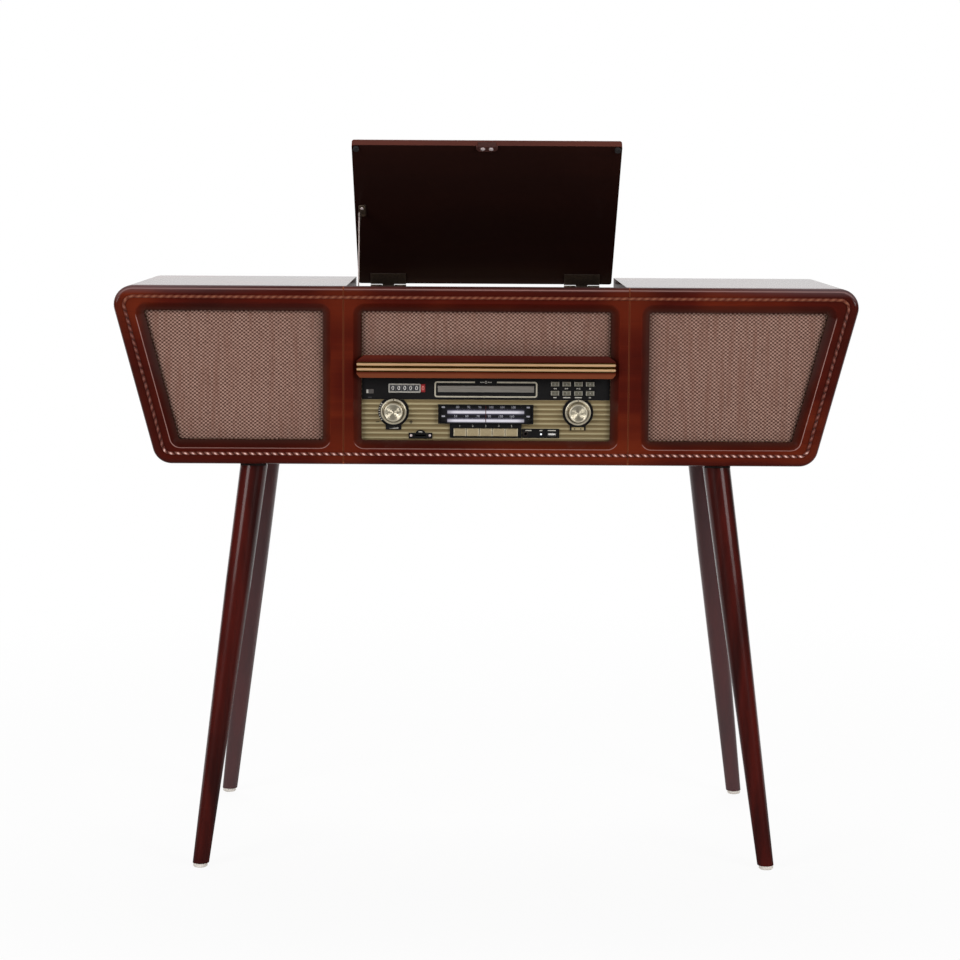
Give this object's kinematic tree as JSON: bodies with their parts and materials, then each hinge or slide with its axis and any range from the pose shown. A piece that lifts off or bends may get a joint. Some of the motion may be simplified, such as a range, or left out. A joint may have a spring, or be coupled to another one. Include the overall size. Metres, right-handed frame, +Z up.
{
  "type": "console record player",
  "caption": "Wooden console record player on splayed legs: lidded turntable well, radio panel with dial, keys, knobs and disc tray, cloth-covered speakers at both sides.",
  "frame": {"origin": "on the floor under the middle of the cabinet", "axes": "+X to the right seen from the front, +Y to the back, +Z up"},
  "size_m": [1.0792, 0.4796, 1.058],
  "materials": {
    "walnut": "satin lacquer over a reddish walnut veneer",
    "leg_wood": "satin stained turned wood",
    "board": "plain board",
    "hardboard": "matt brown hardboard",
    "rope": "stained twisted rope moulding",
    "cloth": "woven loudspeaker cloth",
    "brass": "polished strip",
    "steel": "zinc-plated",
    "nylon": "moulded nylon",
    "rubber": "matt black",
    "deck_black": "fine black texture",
    "aluminium": "turned",
    "gold_plate": "champagne gold with pressed ribs",
    "black_plastic": "polished black",
    "grey_plastic": "silver-grey paint",
    "lamp": "translucent white",
    "glass": "clear window",
    "pointer": "thin painted strip",
    "knob_metal": "spun and polished",
    "cream": "ivory",
    "button_grey": "silver-grey",
    "paper": "coated paper cone and pressed basket",
    "circuit": "lacquered circuit board"
  },
  "bodies": {
    "cabinet": {"left_speaker_box": "walnut", "right_speaker_box": "walnut", "front_frame": "walnut", "rope_moulding": "rope", "grille_cloths": "cloth", "speaker_baffles": "board", "speaker_drivers": "paper", "centre_boards": "board", "back_panels": "hardboard", "panel_screws": "steel", "rail_ledge": "walnut", "brass_rails": "brass", "legs": "leg_wood", "leg_plates": "steel", "foot_glides": "nylon", "cabinet_fittings": "steel", "deck": "deck_black", "spindle": "steel", "motor": "steel", "drive_belt": "rubber", "tonearm_base": "black_plastic", "fascia_plate": "gold_plate", "panel_bezels": "black_plastic", "dial_lamps": "lamp", "dial_glass": "glass", "cd_drive": "steel", "counter": "grey_plastic", "front_ports": "black_plastic", "circuit_boards": "circuit", "rear_sockets": "black_plastic"},
    "lid": {"lid_panel": "walnut", "lid_pull": "brass", "lid_bumpers": "nylon", "lid_fittings": "steel"},
    "stay": {"stay_arm": "steel"},
    "platter": {"platter": "aluminium", "platter_mat": "rubber"},
    "pulley": {"motor_pulley": "brass"},
    "arm_yoke": {"tonearm_yoke": "black_plastic"},
    "arm": {"tonearm": "aluminium", "cartridge": "black_plastic"},
    "cue": {"cue_lever": "aluminium"},
    "speed": {"speed_switch": "black_plastic"},
    "volume": {"volume_knob": "knob_metal"},
    "tuning": {"tuning_knob": "knob_metal"},
    "tray": {"cd_tray": "grey_plastic"},
    "pointer": {"dial_pointer": "pointer"},
    "key_1": {"mode_key_1": "cream"},
    "key_2": {"mode_key_2": "cream"},
    "key_3": {"mode_key_3": "cream"},
    "key_4": {"mode_key_4": "cream"},
    "key_5": {"mode_key_5": "cream"},
    "button_1": {"preset_button_1": "button_grey"},
    "button_2": {"preset_button_2": "button_grey"},
    "button_3": {"preset_button_3": "button_grey"},
    "button_4": {"preset_button_4": "button_grey"},
    "button_5": {"preset_button_5": "button_grey"},
    "button_6": {"preset_button_6": "button_grey"},
    "button_7": {"preset_button_7": "button_grey"},
    "button_8": {"preset_button_8": "button_grey"}
  },
  "joints": [
    {"name": "lid_hinge", "type": "hinge", "parent": "cabinet", "child": "lid", "pos_m": [0, 0.177, 0.8305], "axis": [-1, 0, 0], "range_deg": [-40.3, 0]},
    {"name": "stay_swing", "type": "hinge", "parent": "lid", "child": "stay", "pos_m": [-0.1931, 0.03179, 0.94512], "axis": [-1, 0, 0], "range_deg": [0, 20.15]},
    {"name": "platter_spin", "type": "hinge", "parent": "cabinet", "child": "platter", "pos_m": [-0.034, 0.0095, 0.7913], "axis": [0, 0, 1], "continuous": true},
    {"name": "pulley_spin", "type": "hinge", "parent": "cabinet", "child": "pulley", "pos_m": [-0.094, 0.0695, 0.776], "axis": [0, 0, 1], "continuous": true},
    {"name": "arm_swing", "type": "hinge", "parent": "cabinet", "child": "arm_yoke", "pos_m": [0.155, 0.108, 0.795], "axis": [0, 0, -1], "range_deg": [0, 46]},
    {"name": "arm_lift", "type": "hinge", "parent": "arm_yoke", "child": "arm", "pos_m": [0.155, 0.108, 0.808], "axis": [-1, 0, 0], "range_deg": [0, 4]},
    {"name": "cue_turn", "type": "hinge", "parent": "cabinet", "child": "cue", "pos_m": [0.172, 0.078, 0.784], "axis": [-1, 0, 0], "range_deg": [0, 45]},
    {"name": "speed_slide", "type": "slide", "parent": "cabinet", "child": "speed", "axis": [0, 1, 0], "range_m": [-0.008, 0.008]},
    {"name": "volume_turn", "type": "hinge", "parent": "cabinet", "child": "volume", "pos_m": [-0.1345, -0.1624, 0.6635], "axis": [0, 1, 0], "range_deg": [-150, 150]},
    {"name": "tuning_turn", "type": "hinge", "parent": "cabinet", "child": "tuning", "pos_m": [0.1345, -0.1624, 0.6635], "axis": [0, 1, 0], "range_deg": [-540, 540]},
    {"name": "tray_slide", "type": "slide", "parent": "cabinet", "child": "tray", "axis": [0, -1, 0], "range_m": [0, 0.135]},
    {"name": "pointer_slide", "type": "slide", "parent": "cabinet", "child": "pointer", "axis": [1, 0, 0], "range_m": [-0.05, 0.05]},
    {"name": "key_1_press", "type": "slide", "parent": "cabinet", "child": "key_1", "axis": [0, 1, 0], "range_m": [0, 0.003], "stiffness_N_per_m": 400},
    {"name": "key_2_press", "type": "slide", "parent": "cabinet", "child": "key_2", "axis": [0, 1, 0], "range_m": [0, 0.003], "stiffness_N_per_m": 400},
    {"name": "key_3_press", "type": "slide", "parent": "cabinet", "child": "key_3", "axis": [0, 1, 0], "range_m": [0, 0.003], "stiffness_N_per_m": 400},
    {"name": "key_4_press", "type": "slide", "parent": "cabinet", "child": "key_4", "axis": [0, 1, 0], "range_m": [0, 0.003], "stiffness_N_per_m": 400},
    {"name": "key_5_press", "type": "slide", "parent": "cabinet", "child": "key_5", "axis": [0, 1, 0], "range_m": [0, 0.003], "stiffness_N_per_m": 400},
    {"name": "button_1_press", "type": "slide", "parent": "cabinet", "child": "button_1", "axis": [0, 1, 0], "range_m": [0, 0.001], "stiffness_N_per_m": 600},
    {"name": "button_2_press", "type": "slide", "parent": "cabinet", "child": "button_2", "axis": [0, 1, 0], "range_m": [0, 0.001], "stiffness_N_per_m": 600},
    {"name": "button_3_press", "type": "slide", "parent": "cabinet", "child": "button_3", "axis": [0, 1, 0], "range_m": [0, 0.001], "stiffness_N_per_m": 600},
    {"name": "button_4_press", "type": "slide", "parent": "cabinet", "child": "button_4", "axis": [0, 1, 0], "range_m": [0, 0.001], "stiffness_N_per_m": 600},
    {"name": "button_5_press", "type": "slide", "parent": "cabinet", "child": "button_5", "axis": [0, 1, 0], "range_m": [0, 0.001], "stiffness_N_per_m": 600},
    {"name": "button_6_press", "type": "slide", "parent": "cabinet", "child": "button_6", "axis": [0, 1, 0], "range_m": [0, 0.001], "stiffness_N_per_m": 600},
    {"name": "button_7_press", "type": "slide", "parent": "cabinet", "child": "button_7", "axis": [0, 1, 0], "range_m": [0, 0.001], "stiffness_N_per_m": 600},
    {"name": "button_8_press", "type": "slide", "parent": "cabinet", "child": "button_8", "axis": [0, 1, 0], "range_m": [0, 0.001], "stiffness_N_per_m": 600}
  ],
  "couplings": [
    {"joint": "stay_swing", "follows": "lid_hinge", "ratio": -0.5},
    {"joint": "pulley_spin", "follows": "platter_spin", "ratio": 9.1818},
    {"joint": "arm_lift", "follows": "cue_turn", "ratio": 0.0888},
    {"joint": "pointer_slide", "follows": "tuning_turn", "m_per_rad": 0.005305}
  ]
}
